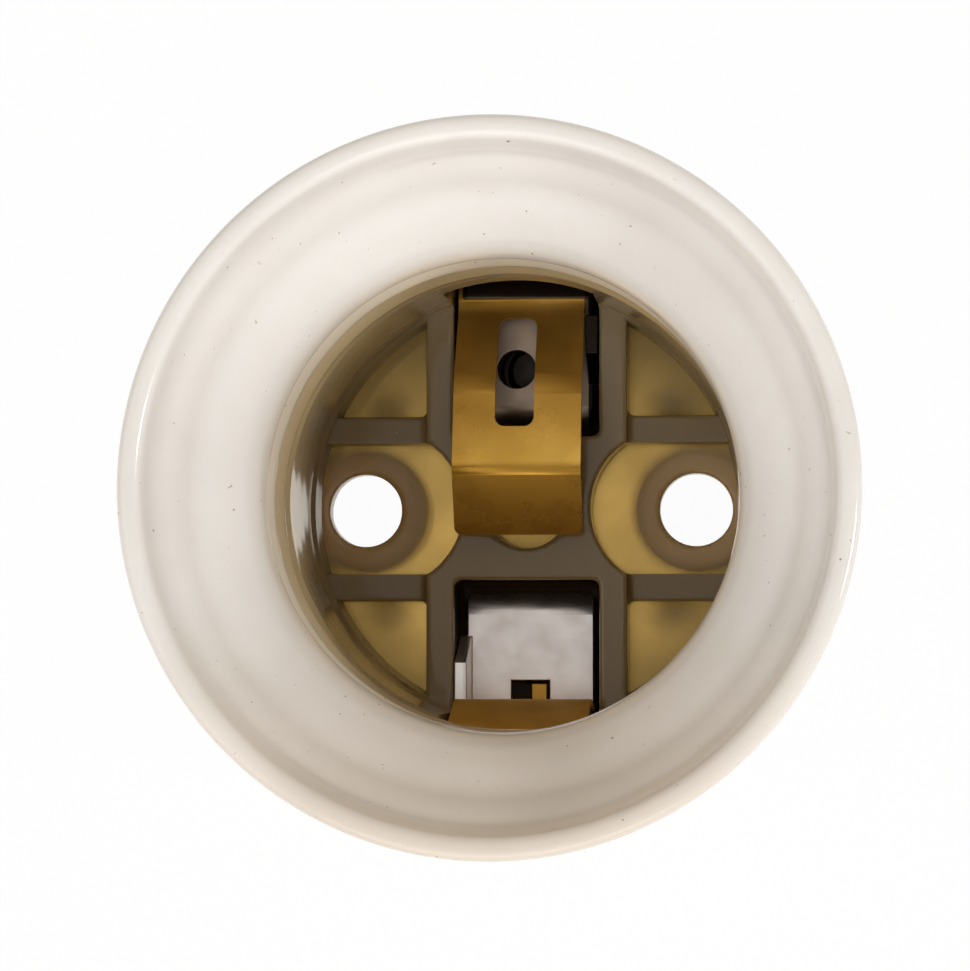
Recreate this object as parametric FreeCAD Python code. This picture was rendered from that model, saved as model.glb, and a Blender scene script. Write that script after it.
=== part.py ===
"""One-piece porcelain lamp holder for E27 lamps, with its contacts and terminals.

Frame: millimetres, +Z out of the mouth, origin at the centre of the rear face.
The two fixing holes lie along X. The centre contact is rooted on the +Y side,
the side contact on the -Y side. Both terminals are the same folded strip, turned
half a turn about Z.
"""
import FreeCAD, Part
import math
import os

V = FreeCAD.Vector
os.makedirs("parts", exist_ok=True)

# ---- Porcelain body: mouth and bore, built outwards from the thread -----------
THREAD_CORE_DIAMETER = 24.7  # crest of the E27 thread; its helix is left to the finish
BEAD_STEP = 0.15             # the bead's ring stands back this far from the thread's crest
BEAD_WIDTH = 0.55
LOWER_ROLL_WIDTH = 2.25      # the funnel widens in two soft rolls
UPPER_ROLL_WIDTH = 1.6
MOUTH_DRAFT = 0.2
LIP_INNER_ROUND = 0.45
LIP_OUTER_ROUND = 0.95

# ---- Depths below the lip -------------------------------------------------------
LIP_INNER_DEPTH = 0.9
UPPER_ROLL_DEPTH = 2.0
LOWER_ROLL_DEPTH = 4.3
CREASE_DEPTH = 6.7
BEAD_DEPTH = 8.1
THREAD_START_DEPTH = 9.2
THREAD_END_DEPTH = 17.6
ROLL_BULGE = 0.2             # how far each roll stands proud of straight
PLAIN_BORE_STEP = 0.2        # below the thread the bore is plain and a little narrower

# ---- Porcelain body: outside ----------------------------------------------------
TOTAL_HEIGHT = 42.0
COLLAR_HEIGHT = 11.5
BARREL_DIAMETER = 33.8       # between collar and foot
FOOT_DIAMETER = 35.6
FOOT_HEIGHT = 3.2
FOOT_BEVEL = 0.7
STEP_SLOPE = 1.6             # height over which collar and foot run into the barrel

# ---- Porcelain body: floor ------------------------------------------------------
POCKET_FLOOR_Z = 13.0
POCKET_STEP = 0.4            # the floor is narrower than the thread's crest
THIN_FLOOR = 1.3             # skin under the pockets, thin enough to glow
COLUMN_HEIGHT = 3.0
COLUMN_WIDTH = 11.5
COLUMN_ROUND = 0.35
BAR_HEIGHT = 2.3
BAR_INNER_Y = 3.75           # faces of the bars towards the fixing holes
BAR_WIDTH = 1.55
BAR_ROUND = 0.3
HOLE_POCKET_RADIUS = 4.5
HOLE_POCKET_SHIFT = 1.45     # its centre lies this far inside the fixing hole
CENTRE_RECESS_DIAMETER = 4.6

# ---- Porcelain body: fixing holes and rear --------------------------------------
FIXING_SPACING = 19.2
FIXING_HOLE_DIAMETER = 4.2
FIXING_REAR_DIAMETER = 5.2
FIXING_LAND = 1.6            # length of the narrower hole, under the screw head
BOSS_DIAMETER = 7.0
BOSS_HEIGHT = 4.0            # below the floor
BOSS_WEB_WIDTH = 4.0
REAR_ROOM = 1.1              # between the corners of the saddle plates and the skirt
WIRE_NOTCH_WIDTH = 5.4
WIRE_NOTCH_HEIGHT = 5.2

# ---- Contact slots, measured outwards from the bore axis ------------------------
SLOT_WIDTH = 8.3
SLOT_INNER = 4.1
LEG_CLEARANCE = 0.1          # round the leg of the terminal where it passes the floor
LEDGE_DROP = 0.8             # seat of the terminals below the pocket floor
LEDGE_THICKNESS = 2.3
PAD_WIDTH = 10.4
CURL_ROOM = 0.25             # behind the curl of the centre terminal
CENTRE_GROOVE_HEIGHT = 9.9
SIDE_GROOVE_HEIGHT = 13.3
SIDE_SWING = 1.9             # room behind the side contact

# ---- Terminals (nickel-plated steel strip) --------------------------------------
STEEL = 0.7
TERMINAL_WIDTH = 7.3
TERMINAL_INNER = 4.65        # outer face of the leg, from the axis
TERMINAL_BEND = 0.35         # inside bend radius at the rear of the ledge
FRONT_BEND = 0.7             # and at the front, where the leg rolls over into the plate
CURL_CENTRE = 12.0           # the front plate ends in a half-round curl that holds the contact
CURL_INSIDE = 1.2            # its inside radius
CLAMP_PLATE_REACH = 11.6     # outer end of the rear plate
FLANGE_START = 7.3           # side flange, bent up against the wall of the slot
FLANGE_END = 11.0
FLANGE_HEIGHT = 4.0          # at its outer end; from there it slopes down to the plate
FLANGE_TOP = 2.2             # level stretch at its outer end
FLANGE_GAP = 0.05            # to the porcelain
TIP_WINDOW_DIAMETER = 2.2    # hole over the tip of the centre terminal's screw
TIP_WINDOW_SHIFT = -0.8
NOTCH_WIDTH = 2.2            # in the outer end of the side terminal's front plate
NOTCH_LENGTH = 2.15

# ---- Contacts (brass spring strip); heights are above the ledge ------------------
BRASS = 0.4
CONTACT_GRIP = 0.05          # play of the leaf's hook in the curl
CENTRE_HOOK = 150.0          # degrees that the hook turns inside the curl
SIDE_HOOK = 180.0
LEAF_FLANGE_GAP = 0.1        # the centre leaf clears the flange on one side
LEAF_WALL_GAP = 0.2          # and the wall of the slot on the other
ROOT_BEND = 1.5
CENTRE_RISE_START = 0.6      # in front of the curl
CENTRE_KNEE = (7.0, 5.7)
CENTRE_CREST = (2.0, 6.9)
CENTRE_TIP = (-1.5, 5.2)
KNEE_BEND = 4.0
CREST_BEND = 0.4
CONTACT_CORNER = 0.45
LEAF_SLOT_WIDTH = 2.2
LEAF_SLOT_START = 4.5
LEAF_SLOT_END = 10.9
LEAF_SLOT_SHIFT = -0.15      # from the middle of the leaf
LEAF_SLOT_CORNER = 0.55
SIDE_WIDTH = 7.7
SIDE_RISE_START = 0.45
SIDE_ROOT_BEND = 0.15
SIDE_BULGE = (10.95, 6.3)
SIDE_TOP = (12.6, 11.3)
SIDE_BULGE_BEND = 3.0
TAB_WIDTH = 0.85             # locking tab of the side contact, in the notch of its terminal
TAB_SHIFT = 0.52
TAB_CLEARANCE = 0.2
TAB_DROP = 0.3               # from the hook down into the notch

# ---- Terminal screws and saddle plates -------------------------------------------
SCREW_Y = 8.2
THREAD_DIAMETER = 3.0
SHANK_CLEARANCE = 0.05       # radial, in the tapped plate
PASSAGE_CLEARANCE = 0.2      # radial, through the ledge and through the saddle plate
SCREW_LENGTH = 3.0
HEAD_DIAMETER = 5.6
HEAD_HEIGHT = 2.0
HEAD_EDGE = 0.3
DRIVER_SLOT_WIDTH = 0.9
DRIVER_SLOT_DEPTH = 1.0
SADDLE_THICKNESS = 1.0
SADDLE_LENGTH = 6.4
SADDLE_LIP = 0.5
SADDLE_LIP_HEIGHT = 0.5
SADDLE_GAP = 0.15            # between the lips and the clamp plate

# ---- Sizes that follow ------------------------------------------------------------
CORE = THREAD_CORE_DIAMETER / 2
BEAD = CORE + BEAD_STEP
CREASE = BEAD + BEAD_WIDTH
LOWER_ROLL = CREASE + LOWER_ROLL_WIDTH
UPPER_ROLL = LOWER_ROLL + UPPER_ROLL_WIDTH
LIP_INNER = UPPER_ROLL + MOUTH_DRAFT
LIP_CREST = LIP_INNER + LIP_INNER_ROUND
COLLAR = LIP_CREST + LIP_OUTER_ROUND
LEDGE_Z = POCKET_FLOOR_Z - LEDGE_DROP
LEDGE_BASE_Z = LEDGE_Z - LEDGE_THICKNESS
LEDGE_START = TERMINAL_INNER + STEEL + max(TERMINAL_BEND, FRONT_BEND)
PLATE_TOP_Z = LEDGE_Z + STEEL
CLAMP_FACE_Z = LEDGE_BASE_Z - STEEL          # rear face of both clamp plates
COLUMN_TOP_Z = POCKET_FLOOR_Z + COLUMN_HEIGHT
ROOF_Z = POCKET_FLOOR_Z - THIN_FLOOR
CURL_Z = PLATE_TOP_Z + CURL_INSIDE
HOOK_RADIUS = CURL_INSIDE - CONTACT_GRIP - BRASS / 2     # to the middle of the brass
HOOK_TOP_Z = CURL_Z + HOOK_RADIUS
HOOK_BASE_Z = CURL_Z - HOOK_RADIUS
CENTRE_GROOVE_OUTER = CURL_CENTRE + CURL_INSIDE + STEEL + CURL_ROOM
SIDE_GROOVE_OUTER = SIDE_TOP[0] + SIDE_SWING
FLANGE_OUTER = SLOT_WIDTH / 2 - FLANGE_GAP
SADDLE_INNER = TERMINAL_WIDTH / 2 + SADDLE_GAP
SADDLE_OUTER = SADDLE_INNER + SADDLE_LIP
REAR_CAVITY = math.hypot(SADDLE_OUTER, SCREW_Y + SADDLE_LENGTH / 2) + REAR_ROOM
PASSAGE_DIAMETER = THREAD_DIAMETER + 2 * PASSAGE_CLEARANCE
HOLE_X = FIXING_SPACING / 2
MARGIN = 1.0                 # how far cutting tools run past the faces they open


def box(x0, x1, y0, y1, z0, z1):
    """Upright block between two corners."""
    return Part.makeBox(x1 - x0, y1 - y0, z1 - z0, V(x0, y0, z0))


def drum(diameter, z0, z1, x=0.0, y=0.0):
    """Upright cylinder."""
    return Part.makeCylinder(diameter / 2, z1 - z0, V(x, y, z0))


def half_turn(shape):
    """The same shape on the other side of the axis."""
    turned = shape.copy()
    turned.rotate(V(0, 0, 0), V(0, 0, 1), 180)
    return turned


def line(start, end):
    return Part.LineSegment(start, end).toShape()


def arc(start, middle, end):
    return Part.Arc(start, middle, end).toShape()


def lathe(points):
    """Solid of revolution about Z. A point is (r, z), or (r, z, r_mid, z_mid) when an arc
    through the middle point leads to it."""
    edges = []
    for previous, point in zip([points[-1]] + points[:-1], points):
        start = V(previous[0], 0, previous[1])
        end = V(point[0], 0, point[1])
        if len(point) == 4:
            edges.append(arc(start, V(point[2], 0, point[3]), end))
        else:
            edges.append(line(start, end))
    face = Part.Face(Part.Wire(edges))
    return face.revolve(V(0, 0, 0), V(0, 0, 1), 360)


def rounded_rail(width, base_z, top_z, length, edge_round):
    """Bar along Y, centred on the axis, with its two upper edges rounded."""
    side = width / 2
    shoulder = side - edge_round
    corner = edge_round * math.sqrt(0.5)
    low = top_z - edge_round
    outline = [
        line(V(-side, 0, base_z), V(side, 0, base_z)),
        line(V(side, 0, base_z), V(side, 0, low)),
        arc(V(side, 0, low), V(shoulder + corner, 0, low + corner), V(shoulder, 0, top_z)),
        line(V(shoulder, 0, top_z), V(-shoulder, 0, top_z)),
        arc(V(-shoulder, 0, top_z), V(-shoulder - corner, 0, low + corner), V(-side, 0, low)),
        line(V(-side, 0, low), V(-side, 0, base_z)),
    ]
    rail = Part.Face(Part.Wire(outline)).extrude(V(0, length, 0))
    rail.translate(V(0, -length / 2, 0))
    return rail


def folded_strip(path, thickness, bends, width, curl):
    """Strip of sheet, folded in the YZ plane along a centre line and centred on X = 0.

    path holds (y, z) corners and bends the inside radius at each inner corner. The last leg
    runs outwards along Y, and curl (radius to the middle of the strip, degrees) rolls its end
    up for a positive angle and down for a negative one.
    """
    half = thickness / 2
    left, right = [], []

    def offset(point, direction, side):
        return V(0, point[0] - direction[1] * side, point[1] + direction[0] * side)

    starts = [path[0]]
    directions = []
    for (y0, z0), (y1, z1) in zip(path, path[1:]):
        run = math.hypot(y1 - y0, z1 - z0)
        directions.append(((y1 - y0) / run, (z1 - z0) / run))
    for corner, bend, before, after in zip(path[1:-1], bends, directions, directions[1:]):
        cross = before[0] * after[1] - before[1] * after[0]
        turn = math.atan2(cross, before[0] * after[0] + before[1] * after[1])
        middle_radius = bend + half
        tangent = middle_radius * math.tan(abs(turn) / 2)
        enter = (corner[0] - before[0] * tangent, corner[1] - before[1] * tangent)
        leave = (corner[0] + after[0] * tangent, corner[1] + after[1] * tangent)
        sense = math.copysign(1.0, turn)
        centre = offset(enter, before, sense * middle_radius)
        for side, edges in ((half, left), (-half, right)):
            radius = middle_radius - sense * side
            mid_angle = math.atan2(before[1], before[0]) - sense * math.pi / 2 + turn / 2
            top = V(0, centre.y + radius * math.cos(mid_angle), centre.z + radius * math.sin(mid_angle))
            edges.append(line(offset(starts[-1], before, side), offset(enter, before, side)))
            edges.append(arc(offset(enter, before, side), top, offset(leave, after, side)))
        starts.append(leave)
    last = directions[-1]
    end = path[-1]
    for side, edges in ((half, left), (-half, right)):
        edges.append(line(offset(starts[-1], last, side), offset(end, last, side)))
    radius, wrap = curl
    sense = math.copysign(1.0, wrap)
    for side, edges in ((half, left), (-half, right)):
        arm = radius - sense * side
        points = []
        for share in (0.0, 0.5, 1.0):
            turn = math.radians(share * abs(wrap))
            points.append(V(0, end[0] + arm * math.sin(turn),
                            end[1] + sense * (radius - arm * math.cos(turn))))
        edges.append(arc(*points))
    first_cap = line(right[0].Vertexes[0].Point, left[0].Vertexes[0].Point)
    last_cap = line(left[-1].Vertexes[-1].Point, right[-1].Vertexes[-1].Point)
    loop = Part.Wire(Part.__sortEdges__([first_cap] + left + [last_cap] + right))
    strip = Part.Face(loop).extrude(V(width, 0, 0))
    strip.translate(V(-width / 2, 0, 0))
    return strip


# ---- Body --------------------------------------------------------------------


def body_outside():
    """Foot, barrel, collar and rounded lip, solid to the axis."""
    barrel = BARREL_DIAMETER / 2
    foot = FOOT_DIAMETER / 2
    collar_base = TOTAL_HEIGHT - COLLAR_HEIGHT
    lip_sag = LIP_OUTER_ROUND * (1 - math.sqrt(0.5))
    return lathe([
        (0, TOTAL_HEIGHT),
        (0, 0),
        (foot - FOOT_BEVEL, 0),
        (foot, FOOT_BEVEL),
        (foot, FOOT_HEIGHT),
        (barrel, FOOT_HEIGHT + STEP_SLOPE),
        (barrel, collar_base - STEP_SLOPE),
        (COLLAR, collar_base),
        (COLLAR, TOTAL_HEIGHT - LIP_OUTER_ROUND),
        (COLLAR - lip_sag, TOTAL_HEIGHT - lip_sag),
        (LIP_CREST, TOTAL_HEIGHT),
    ])


def mouth_and_bore():
    """Everything open above the pocket floor: lip, two rolls, crease, bead, thread core, bore."""
    top = TOTAL_HEIGHT
    plain = CORE - PLAIN_BORE_STEP
    return lathe([
        (0, top + MARGIN),
        (0, POCKET_FLOOR_Z),
        (CORE - POCKET_STEP, POCKET_FLOOR_Z),
        (plain, top - THREAD_END_DEPTH - PLAIN_BORE_STEP),
        (CORE, top - THREAD_END_DEPTH),
        (CORE, top - THREAD_START_DEPTH),
        (BEAD, top - BEAD_DEPTH),
        roll_middle(BEAD, BEAD_DEPTH, CREASE, CREASE_DEPTH),
        (CREASE, top - CREASE_DEPTH),
        (LOWER_ROLL, top - LOWER_ROLL_DEPTH)
        + roll_middle(CREASE, CREASE_DEPTH, LOWER_ROLL, LOWER_ROLL_DEPTH),
        (UPPER_ROLL, top - UPPER_ROLL_DEPTH)
        + roll_middle(LOWER_ROLL, LOWER_ROLL_DEPTH, UPPER_ROLL, UPPER_ROLL_DEPTH),
        (LIP_INNER, top - LIP_INNER_DEPTH),
        (LIP_INNER + LIP_INNER_ROUND / 4, top - LIP_INNER_DEPTH / 3),
        (LIP_CREST, top),
        (LIP_CREST, top + MARGIN),
    ])


def roll_middle(lower_r, lower_depth, upper_r, upper_depth):
    """Middle point of the arc between two creases of the funnel."""
    run = upper_r - lower_r
    rise = lower_depth - upper_depth
    length = math.hypot(run, rise)
    middle_r = (lower_r + upper_r) / 2 - ROLL_BULGE * rise / length
    middle_depth = (lower_depth + upper_depth) / 2 - ROLL_BULGE * run / length
    return middle_r, TOTAL_HEIGHT - middle_depth


def floor_ribs():
    """Raised column along Y and the two cross bars, standing on the pocket floor."""
    reach = THREAD_CORE_DIAMETER + MARGIN
    column = rounded_rail(COLUMN_WIDTH, POCKET_FLOOR_Z, COLUMN_TOP_Z, reach, COLUMN_ROUND)
    for side in (-1, 1):
        pocket_x = side * (HOLE_X - HOLE_POCKET_SHIFT)
        pocket = drum(2 * HOLE_POCKET_RADIUS, POCKET_FLOOR_Z, COLUMN_TOP_Z + MARGIN, pocket_x)
        column = column.cut(pocket.common(box(-reach, reach, -BAR_INNER_Y, BAR_INNER_Y, 0, TOTAL_HEIGHT)))
    bar = rounded_rail(BAR_WIDTH, POCKET_FLOOR_Z, POCKET_FLOOR_Z + BAR_HEIGHT, reach, BAR_ROUND)
    bar.rotate(V(0, 0, 0), V(0, 0, 1), 90)
    ribs = column
    for side in (-1, 1):
        placed = bar.copy()
        placed.translate(V(0, side * (BAR_INNER_Y + BAR_WIDTH / 2), 0))
        ribs = ribs.fuse(placed)
    return ribs.common(drum(reach, POCKET_FLOOR_Z, COLUMN_TOP_Z))


def rear_cavity():
    """Space behind the floor, round the screw bosses and the terminal pads."""
    cavity = drum(2 * REAR_CAVITY, -MARGIN, ROOF_Z)
    pad = box(-PAD_WIDTH / 2, PAD_WIDTH / 2, LEDGE_START, REAR_CAVITY, LEDGE_BASE_Z, ROOF_Z)
    boss = drum(BOSS_DIAMETER, ROOF_Z - BOSS_HEIGHT, ROOF_Z, HOLE_X)
    web = box(HOLE_X, REAR_CAVITY, -BOSS_WEB_WIDTH / 2, BOSS_WEB_WIDTH / 2, ROOF_Z - BOSS_HEIGHT, ROOF_Z)
    for filling in (pad, boss, web):
        cavity = cavity.cut(filling).cut(half_turn(filling))
    return cavity


def contact_slot(groove_outer, groove_height):
    """Cutting tool of one contact slot on the +Y side."""
    half = SLOT_WIDTH / 2
    groove_inner = CORE - POCKET_STEP - COLUMN_HEIGHT
    recess = box(-half, half, SLOT_INNER, groove_outer, LEDGE_Z, COLUMN_TOP_Z + MARGIN)
    groove = box(-half, half, groove_inner, groove_outer, LEDGE_Z, LEDGE_Z + groove_height)
    leg_half = TERMINAL_WIDTH / 2 + LEG_CLEARANCE
    leg_opening = box(-leg_half, leg_half, TERMINAL_INNER - LEG_CLEARANCE, LEDGE_START,
                      LEDGE_BASE_Z - MARGIN, LEDGE_Z)
    passage = drum(PASSAGE_DIAMETER, LEDGE_BASE_Z - MARGIN, LEDGE_Z, 0, SCREW_Y)
    return recess.fuse([groove, leg_opening, passage])


def wire_notch():
    """Arched notch through the skirt for one wire, on the +Y side."""
    radius = WIRE_NOTCH_WIDTH / 2
    inner = REAR_CAVITY - MARGIN
    outer = FOOT_DIAMETER / 2 + MARGIN
    spring_line = WIRE_NOTCH_HEIGHT - radius
    arch = Part.makeCylinder(radius, outer - inner, V(0, inner, spring_line), V(0, 1, 0))
    return arch.fuse(box(-radius, radius, inner, outer, -MARGIN, spring_line))


def fixing_hole():
    """Hole for one fixing screw, on the +X side: a land under the head, wider behind it."""
    land_z = POCKET_FLOOR_Z - FIXING_LAND
    land = drum(FIXING_HOLE_DIAMETER, land_z, POCKET_FLOOR_Z + MARGIN, HOLE_X)
    return land.fuse(drum(FIXING_REAR_DIAMETER, ROOF_Z - BOSS_HEIGHT - MARGIN, land_z, HOLE_X))


def make_body():
    body = body_outside().cut(mouth_and_bore())
    body = body.fuse(floor_ribs())
    body = body.cut(rear_cavity())
    body = body.cut(contact_slot(CENTRE_GROOVE_OUTER, CENTRE_GROOVE_HEIGHT))
    body = body.cut(half_turn(contact_slot(SIDE_GROOVE_OUTER, SIDE_GROOVE_HEIGHT)))
    body = body.cut(drum(CENTRE_RECESS_DIAMETER, POCKET_FLOOR_Z, COLUMN_TOP_Z + MARGIN))
    for opening in (fixing_hole(), wire_notch()):
        body = body.cut(opening).cut(half_turn(opening))
    return body.removeSplitter()


# ---- Metal parts ------------------------------------------------------------------


def make_terminal(opening):
    """Strip wrapped round the porcelain ledge, curled at its outer end to hold the contact."""
    middle = STEEL / 2
    front_z = LEDGE_Z + middle
    rear_z = LEDGE_BASE_Z - middle
    leg_y = TERMINAL_INNER + middle
    path = [(CLAMP_PLATE_REACH, rear_z), (leg_y, rear_z), (leg_y, front_z), (CURL_CENTRE, front_z)]
    curl = (CURL_INSIDE + middle, 180.0)
    strip = folded_strip(path, STEEL, [TERMINAL_BEND, FRONT_BEND], TERMINAL_WIDTH, curl)
    tapped = drum(THREAD_DIAMETER, CLAMP_FACE_Z - MARGIN, LEDGE_BASE_Z, 0, SCREW_Y)
    return strip.fuse(terminal_flange()).cut(tapped).cut(opening).removeSplitter()


def terminal_flange():
    """Ear of the front plate, bent up beside the contact, with a sloping inner end."""
    inner = FLANGE_OUTER - STEEL
    top = LEDGE_Z + FLANGE_HEIGHT
    ear = Part.Face(Part.makePolygon([
        V(inner, FLANGE_START, LEDGE_Z),
        V(inner, FLANGE_END, LEDGE_Z),
        V(inner, FLANGE_END, top),
        V(inner, FLANGE_END - FLANGE_TOP, top),
        V(inner, FLANGE_START, PLATE_TOP_Z),
        V(inner, FLANGE_START, LEDGE_Z),
    ])).extrude(V(STEEL, 0, 0))
    web = box(TERMINAL_WIDTH / 2 - STEEL, FLANGE_OUTER, FLANGE_START, FLANGE_END, LEDGE_Z, PLATE_TOP_Z)
    return ear.fuse(web)


def tip_window():
    """Hole in the centre terminal's front plate, over the tip of its screw."""
    return drum(TIP_WINDOW_DIAMETER, LEDGE_Z, PLATE_TOP_Z, TIP_WINDOW_SHIFT, SCREW_Y)


def tab_notch():
    """Notch in the side terminal's front plate that takes the tab of its contact."""
    half = NOTCH_WIDTH / 2
    return box(-half, half, CURL_CENTRE - NOTCH_LENGTH, CURL_CENTRE, LEDGE_Z, PLATE_TOP_Z)


def leaf_slot():
    """Long window with rounded corners, cut straight down through the centre leaf."""
    low = LEAF_SLOT_SHIFT - LEAF_SLOT_WIDTH / 2
    high = LEAF_SLOT_SHIFT + LEAF_SLOT_WIDTH / 2
    window = box(low, high, LEAF_SLOT_START, LEAF_SLOT_END, 0, TOTAL_HEIGHT)
    upright = [e for e in window.Edges if abs(e.tangentAt(e.FirstParameter).z) > 0.9]
    return window.makeFillet(LEAF_SLOT_CORNER, upright)


def above_ledge(point):
    y, height = point
    return y, LEDGE_Z + height


def make_centre_contact():
    """Leaf hooked into the curl of its terminal, rising to the crest under the lamp's tip."""
    right = FLANGE_OUTER - STEEL - LEAF_FLANGE_GAP
    left = LEAF_WALL_GAP - SLOT_WIDTH / 2
    path = [above_ledge(CENTRE_TIP), above_ledge(CENTRE_CREST), above_ledge(CENTRE_KNEE),
            (CURL_CENTRE - CENTRE_RISE_START, HOOK_TOP_Z), (CURL_CENTRE, HOOK_TOP_Z)]
    leaf = folded_strip(path, BRASS, [CREST_BEND, KNEE_BEND, ROOT_BEND], right - left,
                        (HOOK_RADIUS, -CENTRE_HOOK))
    tip_y = leaf.BoundBox.YMin
    corners = [edge for edge in leaf.Edges
               if edge.BoundBox.YMax < tip_y + BRASS and edge.BoundBox.XLength < BRASS]
    leaf = leaf.makeFillet(CONTACT_CORNER, corners).cut(leaf_slot())
    leaf.translate(V((left + right) / 2, 0, 0))
    return leaf


def make_side_contact():
    """Leaf hooked into the curl of its terminal, bulging towards the lamp and leaning back above.

    The hook ends in a narrow tab that drops into the notch of the terminal.
    """
    path = [above_ledge(SIDE_TOP), above_ledge(SIDE_BULGE),
            (CURL_CENTRE - SIDE_RISE_START, HOOK_TOP_Z), (CURL_CENTRE, HOOK_TOP_Z)]
    leaf = folded_strip(path, BRASS, [SIDE_BULGE_BEND, SIDE_ROOT_BEND], SIDE_WIDTH,
                        (HOOK_RADIUS, -SIDE_HOOK))
    left = -TAB_SHIFT - TAB_WIDTH / 2
    right = left + TAB_WIDTH
    tip = CURL_CENTRE - NOTCH_LENGTH + TAB_CLEARANCE
    top = HOOK_BASE_Z + BRASS / 2
    tab = box(left, right, tip, CURL_CENTRE, top - TAB_DROP - BRASS, top - TAB_DROP)
    step = box(left, right, CURL_CENTRE - BRASS, CURL_CENTRE, top - TAB_DROP - BRASS, top)
    return half_turn(leaf.fuse([tab, step]).removeSplitter())


def make_saddle():
    """Plate with two lips that straddle the clamp plate, so that it can't turn with the screw."""
    near = SCREW_Y - SADDLE_LENGTH / 2
    far = SCREW_Y + SADDLE_LENGTH / 2
    base = CLAMP_FACE_Z - SADDLE_THICKNESS
    plate = box(-SADDLE_OUTER, SADDLE_OUTER, near, far, base, CLAMP_FACE_Z)
    for side in (-1, 1):
        low, high = sorted((side * SADDLE_INNER, side * SADDLE_OUTER))
        plate = plate.fuse(box(low, high, near, far, base, CLAMP_FACE_Z + SADDLE_LIP_HEIGHT))
    return plate.cut(drum(PASSAGE_DIAMETER, base, CLAMP_FACE_Z, 0, SCREW_Y)).removeSplitter()


def make_terminal_screw():
    """Slotted cheese-head screw, driven from the rear."""
    under_head = CLAMP_FACE_Z - SADDLE_THICKNESS
    base = under_head - HEAD_HEIGHT
    tip = under_head + SCREW_LENGTH
    radius = THREAD_DIAMETER / 2 - SHANK_CLEARANCE
    head = HEAD_DIAMETER / 2
    screw = lathe([
        (0, base),
        (head - HEAD_EDGE, base),
        (head, base + HEAD_EDGE),
        (head, under_head),
        (radius, under_head),
        (radius, tip - HEAD_EDGE),
        (radius - HEAD_EDGE, tip),
        (0, tip),
    ])
    half_slot = DRIVER_SLOT_WIDTH / 2
    screw = screw.cut(box(-head, head, -half_slot, half_slot, base, base + DRIVER_SLOT_DEPTH))
    screw.translate(V(0, SCREW_Y, 0))
    return screw


pieces = {
    "body": make_body(),
    "centre_terminal": make_terminal(tip_window()),
    "side_terminal": half_turn(make_terminal(tab_notch())),
    "centre_contact": make_centre_contact(),
    "side_contact": make_side_contact(),
    "centre_clamp": make_saddle(),
    "side_clamp": half_turn(make_saddle()),
    "centre_terminal_screw": make_terminal_screw(),
    "side_terminal_screw": half_turn(make_terminal_screw()),
}

for name, shape in pieces.items():
    shape.exportStep(f"parts/{name}.step")
    print(f"{name}: {len(shape.Solids)} solid, {shape.Volume:.1f} mm3, valid {shape.isValid()}")
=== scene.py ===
# %% [markdown]
# # A porcelain lamp holder, seen into its mouth
#
# This script dresses a imported CAD model of a one-piece porcelain lamp holder.
# The CAD model fixes where everything is and how it moves. Here the porcelain gets its soft
# glazed edges and its screw thread, and porcelain and metal get their colours, with painted shade in their
# dark places.
# Sizes are written in millimetres and turned into metres once.

# %% The frame
import math
import bpy
import bmesh
from mathutils import Vector, Matrix


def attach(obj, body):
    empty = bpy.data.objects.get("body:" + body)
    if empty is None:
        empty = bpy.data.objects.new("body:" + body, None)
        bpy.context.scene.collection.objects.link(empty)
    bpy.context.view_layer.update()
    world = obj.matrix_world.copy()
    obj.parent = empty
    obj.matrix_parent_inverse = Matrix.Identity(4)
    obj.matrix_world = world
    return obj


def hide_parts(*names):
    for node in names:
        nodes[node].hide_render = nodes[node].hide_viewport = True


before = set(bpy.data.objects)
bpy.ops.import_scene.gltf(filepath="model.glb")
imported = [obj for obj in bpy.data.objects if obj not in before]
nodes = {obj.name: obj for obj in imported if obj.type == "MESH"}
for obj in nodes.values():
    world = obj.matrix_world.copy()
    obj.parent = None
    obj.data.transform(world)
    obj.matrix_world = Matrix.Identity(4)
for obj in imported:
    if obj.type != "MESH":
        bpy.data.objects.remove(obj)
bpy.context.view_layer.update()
MM = 0.001
print("CAD nodes:", sorted(nodes))

# %% [markdown]
# ## Small tools
#
# A few tools are used again and again. The first turns a bmesh in millimetres into an object.
# The next rounds the corners of a flat outline: a short curve replaces each corner, and its
# radius never eats more than half of the lines beside it.

# %% Making an object from a mesh in millimetres
def make_object(name, bm):
    """A bmesh in millimetres becomes a smooth-shaded object in metres."""
    bmesh.ops.scale(bm, vec=(MM, MM, MM), verts=bm.verts)
    bmesh.ops.recalc_face_normals(bm, faces=bm.faces)
    mesh = bpy.data.meshes.new(name)
    bm.to_mesh(mesh)
    bm.free()
    mesh.polygons.foreach_set("use_smooth", [True] * len(mesh.polygons))
    made = bpy.data.objects.new(name, mesh)
    bpy.context.scene.collection.objects.link(made)
    return made


# %% Rounding the corners of an outline
def rounded_outline(corners, steps=6):
    """Corners are (r, z, radius). Each corner with a radius becomes a short curve."""
    outline = []
    for index, (r, z, radius) in enumerate(corners):
        here = Vector((r, z))
        if radius == 0 or index in (0, len(corners) - 1):
            outline.append(here)
            continue
        before = Vector(corners[index - 1][:2]) - here
        after = Vector(corners[index + 1][:2]) - here
        angle = before.angle(after)
        reach = min(radius / math.tan(angle / 2), 0.49 * before.length, 0.49 * after.length)
        start = here + before.normalized() * reach
        end = here + after.normalized() * reach
        for step in range(steps + 1):
            t = step / steps
            outline.append(start * (1 - t) ** 2 + here * 2 * t * (1 - t) + end * t ** 2)
    return outline


print("one rounded corner:", len(rounded_outline([(0, 0, 0), (1, 0, 1), (1, 1, 0)])), "points")

# %% [markdown]
# Solids are cut and joined with boolean modifiers. The result is written into the mesh at
# once, so that the next cut starts from plain faces.

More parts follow.
